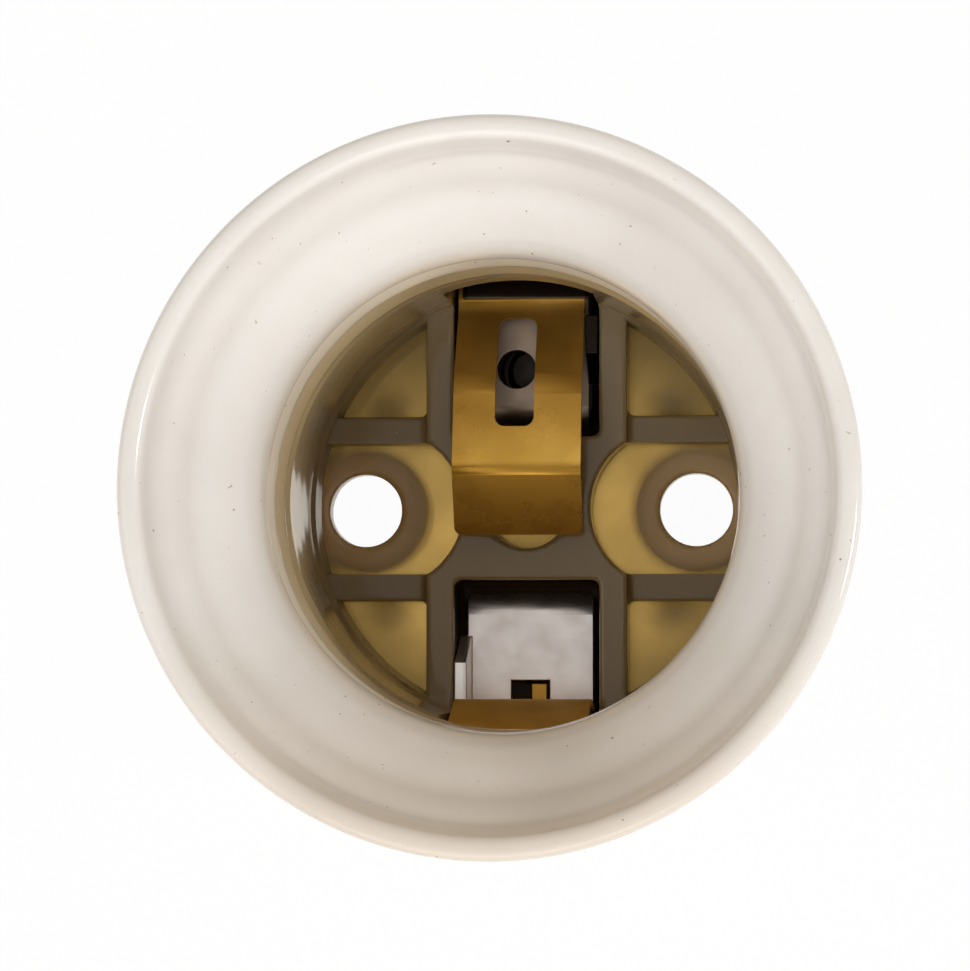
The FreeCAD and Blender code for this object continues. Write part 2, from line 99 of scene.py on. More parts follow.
# %% Combining solids
def bake_modifiers(target):
    """Writes what an object's modifiers make into its own mesh."""
    evaluated = target.evaluated_get(bpy.context.evaluated_depsgraph_get())
    mesh = bpy.data.meshes.new_from_object(evaluated)
    target.modifiers.clear()
    target.data = mesh


def combine(target, tool, operation):
    """Joins, cuts or intersects target with tool, and throws the tool away."""
    modifier = target.modifiers.new("combine", "BOOLEAN")
    modifier.operation = operation
    modifier.object = tool
    modifier.solver = "MANIFOLD"
    bake_modifiers(target)
    bpy.data.objects.remove(tool)
    return target


# %% Blocks and drums
def block(name, low, high, bevel=0.0, segments=3):
    """An upright block between two corners, with its edges rounded."""
    bm = bmesh.new()
    size = [b - a for a, b in zip(low, high)]
    middle = [(a + b) / 2 for a, b in zip(low, high)]
    bmesh.ops.create_cube(bm, size=1.0)
    bmesh.ops.scale(bm, vec=size, verts=bm.verts)
    bmesh.ops.translate(bm, vec=middle, verts=bm.verts)
    if bevel:
        bmesh.ops.bevel(bm, geom=list(bm.edges), offset=bevel, segments=segments,
                        profile=0.5, affect="EDGES")
    return make_object(name, bm)


def drum(name, radius, low, high, x=0.0, y=0.0, segments=96):
    """An upright cylinder."""
    bm = bmesh.new()
    bmesh.ops.create_cone(bm, cap_ends=True, segments=segments, radius1=radius, radius2=radius,
                          depth=high - low)
    bmesh.ops.translate(bm, vec=(x, y, (low + high) / 2), verts=bm.verts)
    return make_object(name, bm)


# %% [markdown]
# ## The porcelain shell
#
# The shell is turned round the axis like a pot. Its outline runs up the outside, over the
# rounded lip, down two soft rolls and a crease to the bead, and on down the bore.
# It could be a bevelled cylinder, but a turned outline lets every corner have its own radius,
# and a glaze never covers a sharp edge.

# %% The outline of the shell
HEIGHT = 42.0
FOOT_R = 17.8
BARREL_R = 16.9
COLLAR_R = 18.5
MOUTH_R = 17.35
SKIRT_BORE_R = 13.3
JOIN_R = 13.25
JOIN_Z = 12.4
CREST_R = 12.35
BORE_R = 12.15
BEAD_Z = 32.8
VERY_SOFT = 20

outside = [
    (JOIN_R, JOIN_Z, 0), (SKIRT_BORE_R, 12.0, 0.2), (SKIRT_BORE_R, 0.0, 0.4), (FOOT_R, 0.0, 0.8),
    (FOOT_R, 3.2, 1.5), (BARREL_R, 4.8, 1.5), (BARREL_R, 28.9, 1.5), (COLLAR_R, 30.5, 1.5),
    (COLLAR_R, HEIGHT, 0.95), (MOUTH_R, HEIGHT, 0.9),
]
funnel = [
    (16.95, 40.2, VERY_SOFT), (15.95, 38.9, VERY_SOFT), (15.3, 37.7, VERY_SOFT),
    (14.1, 36.6, VERY_SOFT), (13.08, 35.25, 4), (12.5, 34.0, VERY_SOFT), (CREST_R, BEAD_Z, VERY_SOFT),
]
floor_end = [
    (CREST_R, 16.4, 0.3), (BORE_R, 15.8, 0.3), (12.0, 14.2, 0), (12.2, 13.2, 0), (JOIN_R, JOIN_Z, 0),
]
upper_outline = rounded_outline(outside + funnel, steps=6)
lower_outline = rounded_outline(funnel[-1:] + floor_end, steps=3)
print("outline points:", len(upper_outline) + len(lower_outline))

# %% [markdown]
# ## The screw thread
#
# The lamp's thread is a round wave wound right-handed, 3.63 mm per turn and nearly 1 mm deep.
# It fades in under the bead. It fades out well above the floor, as a pressed thread does, and
# leaves the lowest part of the wall plain.

# %% How deep the thread is at a point of the bore
PITCH = 3.63
THREAD_DEPTH = 0.95
THREAD_TOP = 32.6
THREAD_FULL = 31.4
THREAD_FADE = 26.4
THREAD_END = 24.2
FIRST_ROOT_Z = 32.1
FIRST_ROOT_ANGLE = math.radians(240)
ROUNDNESS = 0.8


def smooth_step(low, high, value):
    """0 below low, 1 above high, and a soft change between them."""
    t = min(max((value - low) / (high - low), 0.0), 1.0)
    return t * t * (3 - 2 * t)


def thread_depth(angle, z):
    """Radial depth of the groove, zero at the crest."""
    turns = (z - FIRST_ROOT_Z) / PITCH - (angle - FIRST_ROOT_ANGLE) / math.tau
    wave = 0.5 + 0.5 * math.cos(math.tau * turns)
    fade_in = 1 - smooth_step(THREAD_FULL, THREAD_TOP, z)
    fade_out = smooth_step(THREAD_END, THREAD_FADE, z)
    return THREAD_DEPTH * wave ** ROUNDNESS * fade_in * fade_out


print("groove at the left of the bore, z 28:", round(thread_depth(math.pi, 28.0), 2), "mm")

# %% [markdown]
# The hand that trimmed and glazed the body left it very slightly uneven. A slow ripple of a
# few hundredths of a millimetre makes the highlights wander as they do on real glaze.
# The outside is first set back by about as much, so that the body keeps to its CAD size.

# %% The ripple of the glaze
SLOW_RIPPLE = 0.016
FINE_RIPPLE = 0.006
RIPPLE_ROOM = 0.022


def ripple(angle, z):
    slow = math.sin(2 * angle + 0.7 + 0.11 * z) + 0.6 * math.sin(5 * angle - 0.31 * z)
    fine = math.sin(13 * angle + 1.9 * z) * math.sin(0.9 * z + 3 * angle)
    return SLOW_RIPPLE * slow + FINE_RIPPLE * fine


def subdivided(outline, step):
    """The same outline with no segment longer than step."""
    fine = []
    for start, end in zip(outline, outline[1:]):
        count = max(1, math.ceil((end - start).length / step))
        fine += [start.lerp(end, k / count) for k in range(count)]
    return fine


print("ripple at the front, z 40:", round(ripple(0.0, 40.0), 4), "mm")

# %% Turning the shell
SEGMENTS = 240
INSIDE_R = 16.8
RIPPLE_START = 14.5
OUTSIDE_RIPPLE_END = 41
LIP_LEVEL = 0.3


def turned_shell():
    rows = subdivided(upper_outline, 1.5) + subdivided(lower_outline, 0.22)
    bm = bmesh.new()
    rings = []
    for r, z in rows:
        ring = []
        for k in range(SEGMENTS):
            angle = math.tau * k / SEGMENTS
            radius = r
            if r < CREST_R + 0.01 and z < BEAD_Z:
                radius += thread_depth(angle, z)
            if RIPPLE_START < z < HEIGHT - LIP_LEVEL:
                if r <= INSIDE_R:
                    radius += ripple(angle, z)
                elif z < OUTSIDE_RIPPLE_END:
                    radius -= RIPPLE_ROOM + ripple(angle, z)
            ring.append(bm.verts.new((radius * math.cos(angle), radius * math.sin(angle), z)))
        rings.append(ring)
    for ring, next_ring in zip(rings, rings[1:] + rings[:1]):
        for k in range(SEGMENTS):
            following = (k + 1) % SEGMENTS
            bm.faces.new((ring[k], ring[following], next_ring[following], next_ring[k]))
    return make_object("porcelain_body", bm)


porcelain = turned_shell()
print("shell faces:", len(porcelain.data.polygons))

# %% [markdown]
# ## The floor of the bore
#
# The floor is a thin disc with a raised column, two cross bars, a pocket round each fixing
# hole, a recess under the lamp's tip and a slot for each contact.
# It is built from blocks and drums, and then remeshed and smoothed, so that all its corners
# soften together like pressed clay under glaze.

# %% Column, bars and pockets
FLOOR_Z = 13.0
ROOF_Z = 11.7
COLUMN_TOP = 16.0
COLUMN_HALF = 5.75
BAR_TOP = 15.3
BAR_WIDTH = 1.55
BAR_BOTTOM = 12.0
HOLE_X = 9.6
POCKET_X = HOLE_X - 1.45
POCKET_R = 4.5
POCKET_HALF = 3.75
CORE_R = 13.7
REACH = 13.0

core = drum("floor_core", CORE_R, ROOF_Z, FLOOR_Z)
column = block("column", (-COLUMN_HALF, -REACH, BAR_BOTTOM), (COLUMN_HALF, REACH, COLUMN_TOP))
for side in (-1, 1):
    pocket = drum("pocket", POCKET_R, FLOOR_Z - 0.5, COLUMN_TOP + 1, x=side * POCKET_X)
    combine(pocket, block("pocket_span", (-14, -POCKET_HALF, 10), (14, POCKET_HALF, 20)), "INTERSECT")
    combine(column, pocket, "DIFFERENCE")
combine(core, column, "UNION")
for side in (-1, 1):
    middle = side * (POCKET_HALF + BAR_WIDTH / 2)
    bar = block("bar", (-REACH, middle - BAR_WIDTH / 2, BAR_BOTTOM), (REACH, middle + BAR_WIDTH / 2, BAR_TOP))
    combine(core, bar, "UNION")
combine(core, drum("envelope", CORE_R, 0, 20), "INTERSECT")
print("floor with column and bars:", len(core.data.polygons), "faces")

# %% [markdown]
# Behind the floor stand two bosses for the fixing screws and two pads that carry the
# terminals. Nobody sees them with the lamp in place, but they are part of the same casting.

# %% Bosses and pads at the rear
BOSS_R = 3.5
BOSS_END = 7.7
WEB_HALF = 2.0
PAD_HALF = 5.2
PAD_END = 9.9
LEG_SLOT_START = 4.8
LEG_SLOT_END = 6.05

for side in (-1, 1):
    combine(core, drum("boss", BOSS_R, BOSS_END, 12.0, x=side * HOLE_X), "UNION")
    low_x, high_x = sorted((side * HOLE_X, side * CORE_R))
    combine(core, block("web", (low_x, -WEB_HALF, BOSS_END), (high_x, WEB_HALF, 12.0)), "UNION")
    low_y, high_y = sorted((side * LEG_SLOT_END, side * CORE_R))
    combine(core, block("pad", (-PAD_HALF, low_y, PAD_END), (PAD_HALF, high_y, 12.4)), "UNION")
print("floor with bosses and pads:", len(core.data.polygons), "faces")

# %% [markdown]
# Each contact stands in a slot with a ledge, and the terminal's leg goes down through a narrow
# slot beside it. The two slots differ only in how far they reach into the wall, so that one
# short table serves both. The fixing holes are narrow at the floor and wider behind it.

# %% Slots and holes
GROOVES = ((1, 14.15, 22.1), (-1, 14.5, 25.5))  # side, how far out it reaches, its top
SLOT_HALF = 4.15
SLOT_START = 4.1
LEDGE_Z = 12.2
LEG_HALF = 3.55
SCREW_Y = 8.2
PASSAGE_R = 1.7
HOLE_R = 2.1
RELIEF_R = 2.6
RELIEF_TOP = 11.4
TIP_RECESS_R = 2.3

for side, outer, top in GROOVES:
    low_y, high_y = sorted((side * SLOT_START, side * outer))
    combine(core, block("recess", (-SLOT_HALF, low_y, LEDGE_Z), (SLOT_HALF, high_y, 20)), "DIFFERENCE")
    low_y, high_y = sorted((side * LEG_SLOT_START, side * LEG_SLOT_END))
    combine(core, block("leg_slot", (-LEG_HALF, low_y, 5), (LEG_HALF, high_y, 12.6)), "DIFFERENCE")
    combine(core, drum("passage", PASSAGE_R, 5, 14, y=side * SCREW_Y), "DIFFERENCE")
    combine(core, drum("fixing_land", HOLE_R, 9, 17, x=side * HOLE_X), "DIFFERENCE")
    combine(core, drum("fixing_relief", RELIEF_R, BOSS_END - 0.5, RELIEF_TOP, x=side * HOLE_X), "DIFFERENCE")
combine(core, drum("tip_recess", TIP_RECESS_R, FLOOR_Z, 20), "DIFFERENCE")
print("floor cut:", len(core.data.polygons), "faces")

# %% [markdown]
# Remeshing turns the floor into even little cells, a few passes of smoothing round its
# corners, and a reduction keeps the cells only where the surface bends.

# %% Softening the floor
CELL = 0.15

remesh = core.modifiers.new("even_cells", "REMESH")
remesh.mode = "VOXEL"
remesh.voxel_size = CELL * MM
smooth = core.modifiers.new("glaze_softness", "SMOOTH")
smooth.factor = 0.5
smooth.iterations = 5
reduce = core.modifiers.new("fewer_cells", "DECIMATE")
reduce.ratio = 0.34
bake_modifiers(core)
print("softened floor:", len(core.data.polygons), "triangles")

# %% [markdown]
# ## Joining shell and floor
#
# The shell still needs the two wall grooves behind the contacts and the two wire notches in
# its skirt. Then the floor is fused into it, and the casting is one solid again.
# Faces that meet at less than 38 degrees shade as one curved surface.

# %% Grooves, notches and the join
NOTCH_HALF = 2.7
NOTCH_TOP = 5.2
NOTCH_ROUNDING = 2.4

for side, outer, top in GROOVES:
    low_y, high_y = sorted((side * 8.5, side * outer))
    groove = block("groove", (-SLOT_HALF, low_y, JOIN_Z), (SLOT_HALF, high_y, top), bevel=0.5)
    combine(porcelain, groove, "DIFFERENCE")
    low_y, high_y = sorted((side * 12.0, side * 19.0))
    notch = block("notch", (-NOTCH_HALF, low_y, -3.0), (NOTCH_HALF, high_y, NOTCH_TOP),
                  bevel=NOTCH_ROUNDING, segments=8)
    combine(porcelain, notch, "DIFFERENCE")
combine(porcelain, core, "UNION")
porcelain.data.polygons.foreach_set("use_smooth", [True] * len(porcelain.data.polygons))
porcelain.data.set_sharp_from_angle(angle=math.radians(38))
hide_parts("body")
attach(porcelain, "holder")
print("whole casting:", sum(len(p.vertices) - 2 for p in porcelain.data.polygons), "triangles")

# %% [markdown]
# ## Metal parts
#
# The strips, clamps and screws are the CAD pieces themselves. Sheet metal that was stamped and
# folded has a small burr-free radius on every edge, so each piece gets a fine bevel that
# catches the light.

# %% Fine edges on the metal
def fine_edges(node, width):
    weld = node.modifiers.new("weld", "WELD")
    weld.merge_threshold = 0.0005 * MM
    flat = node.modifiers.new("flat_faces", "DECIMATE")
    flat.decimate_type = "DISSOLVE"
    flat.angle_limit = math.radians(1)
    bevel = node.modifiers.new("fine_edges", "BEVEL")
    bevel.width = width * MM
    bevel.segments = 2
    bevel.limit_method = "ANGLE"
    bevel.angle_limit = math.radians(35)
    bevel.harden_normals = True


EDGE_WIDTHS = {
    "centre_terminal": 0.07, "side_terminal": 0.07,
    "centre_contact": 0.05, "side_contact": 0.05,
    "centre_clamp": 0.08, "side_clamp": 0.08,
    "centre_terminal_screw": 0.08, "side_terminal_screw": 0.08,
}
for name, width in EDGE_WIDTHS.items():
    fine_edges(nodes[name], width)
print("pieces with fine edges:", len(EDGE_WIDTHS))

# %% [markdown]
# ## Finishes
#
# Every finish is a small tree of procedural nodes that works in object coordinates, so that it
# stays on the piece when the piece moves. The helpers below each add a node or two.

# %% Node helpers
def new_finish(name):
    finish = bpy.data.materials.new(name)
    finish.use_nodes = True
    tree = finish.node_tree
    tree.nodes.clear()
    output = tree.nodes.new("ShaderNodeOutputMaterial")
    shader = tree.nodes.new("ShaderNodeBsdfPrincipled")
    tree.links.new(shader.outputs[0], output.inputs[0])
    return finish, tree, shader, output


def object_noise(tree, scale, detail=3.0, stretch=(1, 1, 1)):
    """Noise in object coordinates; scale counts cells per metre."""
    coordinates = tree.nodes.new("ShaderNodeTexCoord")
    mapping = tree.nodes.new("ShaderNodeMapping")
    mapping.inputs["Scale"].default_value = stretch
    noise = tree.nodes.new("ShaderNodeTexNoise")
    noise.inputs["Scale"].default_value = scale
    noise.inputs["Detail"].default_value = detail
    noise.inputs["Roughness"].default_value = 0.5
    tree.links.new(coordinates.outputs["Object"], mapping.inputs["Vector"])
    tree.links.new(mapping.outputs[0], noise.inputs["Vector"])
    return noise.outputs[0]


def ramp(tree, source, stops):
    """Colour ramp: stops are (position, colour)."""
    node = tree.nodes.new("ShaderNodeValToRGB")
    elements = node.color_ramp.elements
    while len(elements) < len(stops):
        elements.new(0.5)
    for element, (position, colour) in zip(elements, stops):
        element.position = position
        element.color = (*colour, 1)
    tree.links.new(source, node.inputs[0])
    return node.outputs[0]


def bump(tree, shader, height, strength, distance):
    node = tree.nodes.new("ShaderNodeBump")
    node.inputs["Strength"].default_value = strength
    node.inputs["Distance"].default_value = distance
    tree.links.new(height, node.inputs["Height"])
    tree.links.new(node.outputs[0], shader.inputs["Normal"])


def grey(value):
    return (value, value, value)


# %% Mixing colours and shaders
def mixed_colour(tree, factor, first, second, blend="MIX"):
    mix = tree.nodes.new("ShaderNodeMix")
    mix.data_type = "RGBA"
    mix.blend_type = blend
    for socket, value in (("Factor", factor), ("A", first), ("B", second)):
        if isinstance(value, (tuple, float)):
            mix.inputs[socket].default_value = value
        else:
            tree.links.new(value, mix.inputs[socket])
    return mix.outputs["Result"]


def mixed_shader(tree, factor, first, second):
    mix = tree.nodes.new("ShaderNodeMixShader")
    if isinstance(factor, float):
        mix.inputs[0].default_value = factor
    else:
        tree.links.new(factor, mix.inputs[0])
    tree.links.new(first.outputs[0], mix.inputs[1])
    tree.links.new(second.outputs[0], mix.inputs[2])
    return mix


# %% [markdown]
# A finish changes from place to place: the floor of a pocket is thin, a slot is dark, a flange
# is bright. Painting such places would need an image. A mask made from the position itself
# needs none, and it can use the sizes that are named above. So these helpers turn a distance
# in millimetres into a share between 0 and 1.

# %% Masks from a position
def calculate(tree, operation, *values):
    node = tree.nodes.new("ShaderNodeMath")
    node.operation = operation
    for socket, value in zip(node.inputs, values):
        if isinstance(value, (int, float)):
            socket.default_value = value
        else:
            tree.links.new(value, socket)
    return node.outputs[0]


def share_between(tree, value, low, high, interpolation="LINEAR"):
    """0 where value is below low and 1 above high; both in millimetres."""
    node = tree.nodes.new("ShaderNodeMapRange")
    node.interpolation_type = interpolation
    node.inputs["From Min"].default_value = low * MM
    node.inputs["From Max"].default_value = high * MM
    tree.links.new(value, node.inputs["Value"])
    return node.outputs["Result"]


def above(tree, value, edge, width):
    """0 where value is below edge and 1 above it, with a soft change; both in millimetres."""
    return share_between(tree, value, edge - width / 2, edge + width / 2, "SMOOTHSTEP")


def below(tree, value, edge, width):
    return calculate(tree, "SUBTRACT", 1.0, above(tree, value, edge, width))


def all_of(tree, *shares):
    product = shares[0]
    for share in shares[1:]:
        product = calculate(tree, "MULTIPLY", product, share)
    return product


def less(tree, share, amount):
    """1 where share is 0, and amount less where it is 1."""
    return calculate(tree, "SUBTRACT", 1.0, all_of(tree, share, amount))


# %% Where a point lies
def half_position(tree):
    """How far a point lies from the middle along X and Y, its height Z, and its signed Y."""
    coordinates = tree.nodes.new("ShaderNodeTexCoord")
    parts = tree.nodes.new("ShaderNodeSeparateXYZ")
    tree.links.new(coordinates.outputs["Object"], parts.inputs[0])
    x, y = (calculate(tree, "ABSOLUTE", parts.outputs[axis]) for axis in "XY")
    return x, y, parts.outputs["Z"], parts.outputs["Y"]


def distance_from(tree, x, y, centre_x, centre_y=0.0):
    """The distance of a point from an upright line through a place in millimetres."""
    along = calculate(tree, "SUBTRACT", x, centre_x * MM)
    across = calculate(tree, "SUBTRACT", y, centre_y * MM)
    squares = calculate(tree, "ADD", calculate(tree, "MULTIPLY", along, along),
                        calculate(tree, "MULTIPLY", across, across))
    return calculate(tree, "SQRT", squares)


# %% [markdown]
# ## Porcelain
#
# Glazed porcelain is warm white, with faint clouds where the glaze pooled and a few fine dark
# specks of iron. Wherever it is thin, it lets a little amber light through: that is the floor
# of the pockets and of the tip recess, which glow over a bright table. The glow is strongest
# beside the bosses and weaker towards the wall. It is also painted weaker on the back half, as
# painted shade, and weaker in a soft patch beside each boss.

# %% Thin places
BOSS_GLOW_END = 3.45
GLOW = 0.97
TIP_GLOW = 0.7


def thin_places(tree, x, y, z, signed_y):
    """The share of light let through by the floor of the pockets and by the lamp's tip recess."""
    from_axis = distance_from(tree, x, y, 0.0)
    pockets = calculate(tree, "MAXIMUM", above(tree, x, COLUMN_HALF - 0.15, 0.2),
                        below(tree, distance_from(tree, x, y, POCKET_X), POCKET_R + 0.1, 0.2))
    pockets = all_of(tree, pockets, above(tree, distance_from(tree, x, y, HOLE_X), BOSS_GLOW_END, 1.3))
    recess = all_of(tree, below(tree, from_axis, TIP_RECESS_R, 0.3), TIP_GLOW)
    level = all_of(tree, above(tree, z, ROOF_Z - 0.3, 0.2), below(tree, z, FLOOR_Z + 0.4, 0.5),
                   below(tree, from_axis, CORE_R + 0.5, 0.4))
    # The glow is painted weaker on the back half, as painted shade, and in a soft patch beside each boss.
    back_glow_shade = less(tree, share_between(tree, signed_y, 1, 9), 0.3)
    outer = less(tree, share_between(tree, from_axis, 9, 12), 0.3)
    glow_dim_patch = less(tree, below(tree, distance_from(tree, x, y, 8.3, 5.6), 1.1, 2.0), 0.45)
    clouds = ramp(tree, object_noise(tree, 420, 3), [(0.35, grey(0.84)), (0.65, grey(1))])
    return all_of(tree, calculate(tree, "MAXIMUM", pockets, recess), level, back_glow_shade, outer, glow_dim_patch,
                  clouds, GLOW)


print("strongest glow: pockets", GLOW, "and tip recess", round(GLOW * TIP_GLOW, 2))

# %% [markdown]
# The slots of the contacts are deep and narrow, and little light reaches into them, so they are painted dark
# brown, darkest at the bottom, and given little gloss, as painted shade.
# The mask covers the slots in the floor and the grooves in the wall, and ends inside the wall
# so that nothing shows on the outside.

# %% Contact slots
INSIDE_WALL = 15.6


def contact_slots(tree, x, y, z):
    """1 inside the slots and wall grooves of the contacts."""
    groove = all_of(tree, above(tree, y, 12.7, 0.2), below(tree, z, 22.4, 0.3))
    slot = calculate(tree, "MAXIMUM", groove, below(tree, z, COLUMN_TOP - 0.4, 0.5))
    slot = all_of(tree, slot, below(tree, distance_from(tree, x, y, 0.0), INSIDE_WALL, 0.6))
    return all_of(tree, slot, below(tree, x, SLOT_HALF + 0.1, 0.15), above(tree, y, SLOT_START - 0.1, 0.15),
                  above(tree, z, 7.0, 3.0))


print("slot mask ends", round(BARREL_R - INSIDE_WALL, 2), "mm inside the barrel")

# %% [markdown]
# The colour is built up in layers, from the clouds of the glaze to the specks. Deep in the bore
# a ramp over the height multiplies it darker and browner towards the floor, as painted shade
# where little light reaches.

# %% The colour of the porcelain
DEEP_SHADE_TONES = [
    (0.0, (0.34, 0.25, 0.12)), (0.02, (0.41, 0.32, 0.18)), (0.434, (0.54, 0.43, 0.255)),
    (0.707, (0.93, 0.88, 0.80)), (0.805, grey(1)),
]
DEEP_START = 15.4
DEEP_END = 40
BOSS_GLOW_PAINT = (0.74, 0.50, 0.22, 1)
FRONT_SHADE_TINT = (0.91, 0.84, 0.76, 1)
SPECK_COLOUR = (0.36, 0.27, 0.17, 1)


def porcelain_colour(tree, x, y, z, signed_y, in_bore, slots):
    clouds = ramp(tree, object_noise(tree, 140, 4), [(0.3, (0.80, 0.78, 0.765)), (0.7, (0.87, 0.855, 0.84))])
    # Painted shade: deep in the bore the colour is multiplied darker and browner towards the floor.
    deep = ramp(tree, share_between(tree, z, DEEP_START, DEEP_END), DEEP_SHADE_TONES)
    toned = mixed_colour(tree, in_bore, clouds, mixed_colour(tree, 1.0, clouds, deep, "MULTIPLY"))
    # Painted glow: the ring round each fixing hole is painted amber, standing in for light that seeps through
    # the thick boss.
    boss = all_of(tree, below(tree, distance_from(tree, x, y, HOLE_X), BOSS_R + 0.1, 0.8),
                  above(tree, z, LEDGE_Z, 0.5), below(tree, z, FLOOR_Z + 0.6, 0.6))
    toned = mixed_colour(tree, boss, toned, BOSS_GLOW_PAINT)
    # Painted shade: the contact slots and wall grooves are painted dark brown, darkest at the bottom.
    shade = ramp(tree, share_between(tree, z, 14, 20),
                 [(0.0, (0.045, 0.028, 0.016)), (1.0, (0.20, 0.14, 0.08))])
    toned = mixed_colour(tree, slots, toned, shade)
    # Painted shade: the front of the porcelain, inside and out, is multiplied warmer and darker.
    front = less(tree, share_between(tree, signed_y, -18, -6), 1.0)
    toned = mixed_colour(tree, front, toned, mixed_colour(tree, 1.0, toned, FRONT_SHADE_TINT, "MULTIPLY"))
    specks = ramp(tree, object_noise(tree, 2600, 2), [(0.73, grey(0)), (0.78, grey(1))])
    return mixed_colour(tree, specks, toned, SPECK_COLOUR)


# %% [markdown]
# The wall of the bore is the smoothest part, so it mirrors the bright fixing hole as a streak.
# The thin places get a skin that is part translucent and part clear: the first glows evenly,
# and the second lets the bright table show through.

# %% The whole porcelain
WALL_ROUGHNESS = 0.11
AMBER = (1.0, 0.81, 0.44, 1)
CLEAR_SHARE = 0.45


def porcelain_finish():
    finish, tree, shader, output = new_finish("glazed_porcelain")
    x, y, z, signed_y = half_position(tree)
    in_bore = all_of(tree, below(tree, distance_from(tree, x, y, 0.0), INSIDE_WALL, 0.6),
                     above(tree, z, LEDGE_Z, 0.5))
    slots = contact_slots(tree, x, y, z)
    colour = porcelain_colour(tree, x, y, z, signed_y, in_bore, slots)
    tree.links.new(colour, shader.inputs["Base Color"])
    wall = all_of(tree, in_bore, above(tree, z, COLUMN_TOP - 0.2, 0.8), below(tree, z, 30.0, 2.0))
    roughness = ramp(tree, object_noise(tree, 500, 4), [(0.3, grey(0.12)), (0.75, grey(0.24))])
    roughness = mixed_colour(tree, wall, roughness, (*grey(WALL_ROUGHNESS), 1))
    tree.links.new(roughness, shader.inputs["Roughness"])
    tree.links.new(all_of(tree, less(tree, slots, 0.9), 0.4), shader.inputs["Specular IOR Level"])
    grain = mixed_colour(tree, wall, object_noise(tree, 900, 3),
                         object_noise(tree, 1500, 3, stretch=(1, 1, 0.12)))
    bump(tree, shader, grain, 0.3, 0.00004)
    glow = tree.nodes.new("ShaderNodeBsdfTranslucent")
    glow.inputs["Color"].default_value = AMBER
    clear = tree.nodes.new("ShaderNodeBsdfTransparent")
    clear.inputs["Color"].default_value = AMBER
    skin = mixed_shader(tree, CLEAR_SHARE, glow, clear)
    thin = thin_places(tree, x, y, z, signed_y)
    tree.links.new(mixed_shader(tree, thin, shader, skin).outputs[0], output.inputs[0])
    return finish


porcelain.data.materials.clear()
porcelain.data.materials.append(porcelain_finish())
print("porcelain nodes:", len(porcelain.data.materials[0].node_tree.nodes))

# %% [markdown]
# ## Metal finishes
#
# The contacts are spring brass that has dulled in use, rougher and so darker where it was never
# rubbed. The tip of the centre leaf is painted darker, a painted shade for the dark wall it
# mirrors. The terminals are nickel-plated steel, with painted shade on the curl in the wall groove
# and round their screws. The centre terminal is a darker, browner copy of the nickel, a painted
# shadow of the leaf above it, with its flange painted nearly black; the side terminal's flange is
# a painted highlight. The clamps are zinc-plated and coloured dark as painted shade, and the
# screws blackened.
# All are the same clouded metal with other colours, so one function makes them.

# %% Clouded metal
METALLIC = 0.9
# Painted shade for the tip of the centre leaf, which mirrors the dark wall.
TIP_PAINTED_SHADE = (0.40, 0.21, 0.03, 1)
CURL_START = 11.9
CURL_BOTTOM = 12.95


def hidden_places(tree, x, y, z):
    """1 on the curl in the wall groove and on the edge of the screw's hole, where shade is painted."""
    curl = all_of(tree, above(tree, y, CURL_START, 0.4), above(tree, z, CURL_BOTTOM, 0.1))
    hole = all_of(tree, below(tree, distance_from(tree, x, y, 0.0, SCREW_Y), PASSAGE_R + 0.1, 0.1),
                  below(tree, z, LEDGE_Z - 0.1, 0.2))
    return calculate(tree, "MAXIMUM", curl, hole)


def metal_finish(name, dull, bright, scale, rough_low, rough_high, stretch=(1, 1, 1), grain=0.15,
                 hidden_shade=None, flange_painted_light=None, flange_from=3.6, unworn_and_tip_shade=None):
    """Clouded metal.

    hidden_shade is the painted shade on the curl and round the screw's hole, flange_painted_light
    the colour of the bent-up flange, which starts at flange_from: a painted highlight on one terminal
    and a painted shade on the other; unworn_and_tip_shade is the roughness of what lies far out from
    the middle, and also switches on a painted shade on the leaf's tip.
    """
    finish, tree, shader, output = new_finish(name)
    shader.inputs["Metallic"].default_value = METALLIC
    x, y, z, signed_y = half_position(tree)
    colour = ramp(tree, object_noise(tree, scale, 2), [(0.3, dull), (0.7, bright)])
    roughness = ramp(tree, object_noise(tree, scale * 2.3, 2),
                     [(0.3, grey(rough_low)), (0.7, grey(rough_high))])
    # Painted shade: the curl in the wall groove and the edge of the screw's hole are painted dark.
    if hidden_shade:
        colour = mixed_colour(tree, hidden_places(tree, x, y, z), colour, (*hidden_shade, 1))
    # The bent-up flange is painted a colour of its own: a painted highlight on the side terminal, a painted
    # shade on the centre one.
    if flange_painted_light:
        colour = mixed_colour(tree, above(tree, x, flange_from, 0.1), colour, (*flange_painted_light, 1))
    if unworn_and_tip_shade:
        roughness = mixed_colour(tree, above(tree, y, 6.5, 2.5), roughness, (*grey(unworn_and_tip_shade), 1))
        # Painted shade: the tip of the centre leaf is painted darker.
        colour = mixed_colour(tree, below(tree, y, 2.3, 0.5), colour, TIP_PAINTED_SHADE)
    if grain:
        bump(tree, shader, object_noise(tree, 1500, 3, stretch=stretch), grain, 0.00002)
    tree.links.new(colour, shader.inputs["Base Color"])
    tree.links.new(roughness, shader.inputs["Roughness"])
    return finish


# %% Brass, nickel, zinc and black steel
ROLLED = (1, 6, 1)
# Painted shade for the darkest hidden places of the metal.
DARKEST_SHADE = (0.05, 0.035, 0.025)

brass = metal_finish("spring_brass", (0.66, 0.37, 0.06), (0.88, 0.53, 0.11), 260, 0.24, 0.32,
                     grain=0.0, unworn_and_tip_shade=0.6)
# Painted highlight: the side terminal's flange is painted nearly white.
nickel = metal_finish("nickel_plate", (0.76, 0.69, 0.64), (0.84, 0.77, 0.72), 300, 0.30, 0.42, ROLLED,
                      hidden_shade=(0.10, 0.07, 0.05), flange_painted_light=(0.97, 0.93, 0.88))
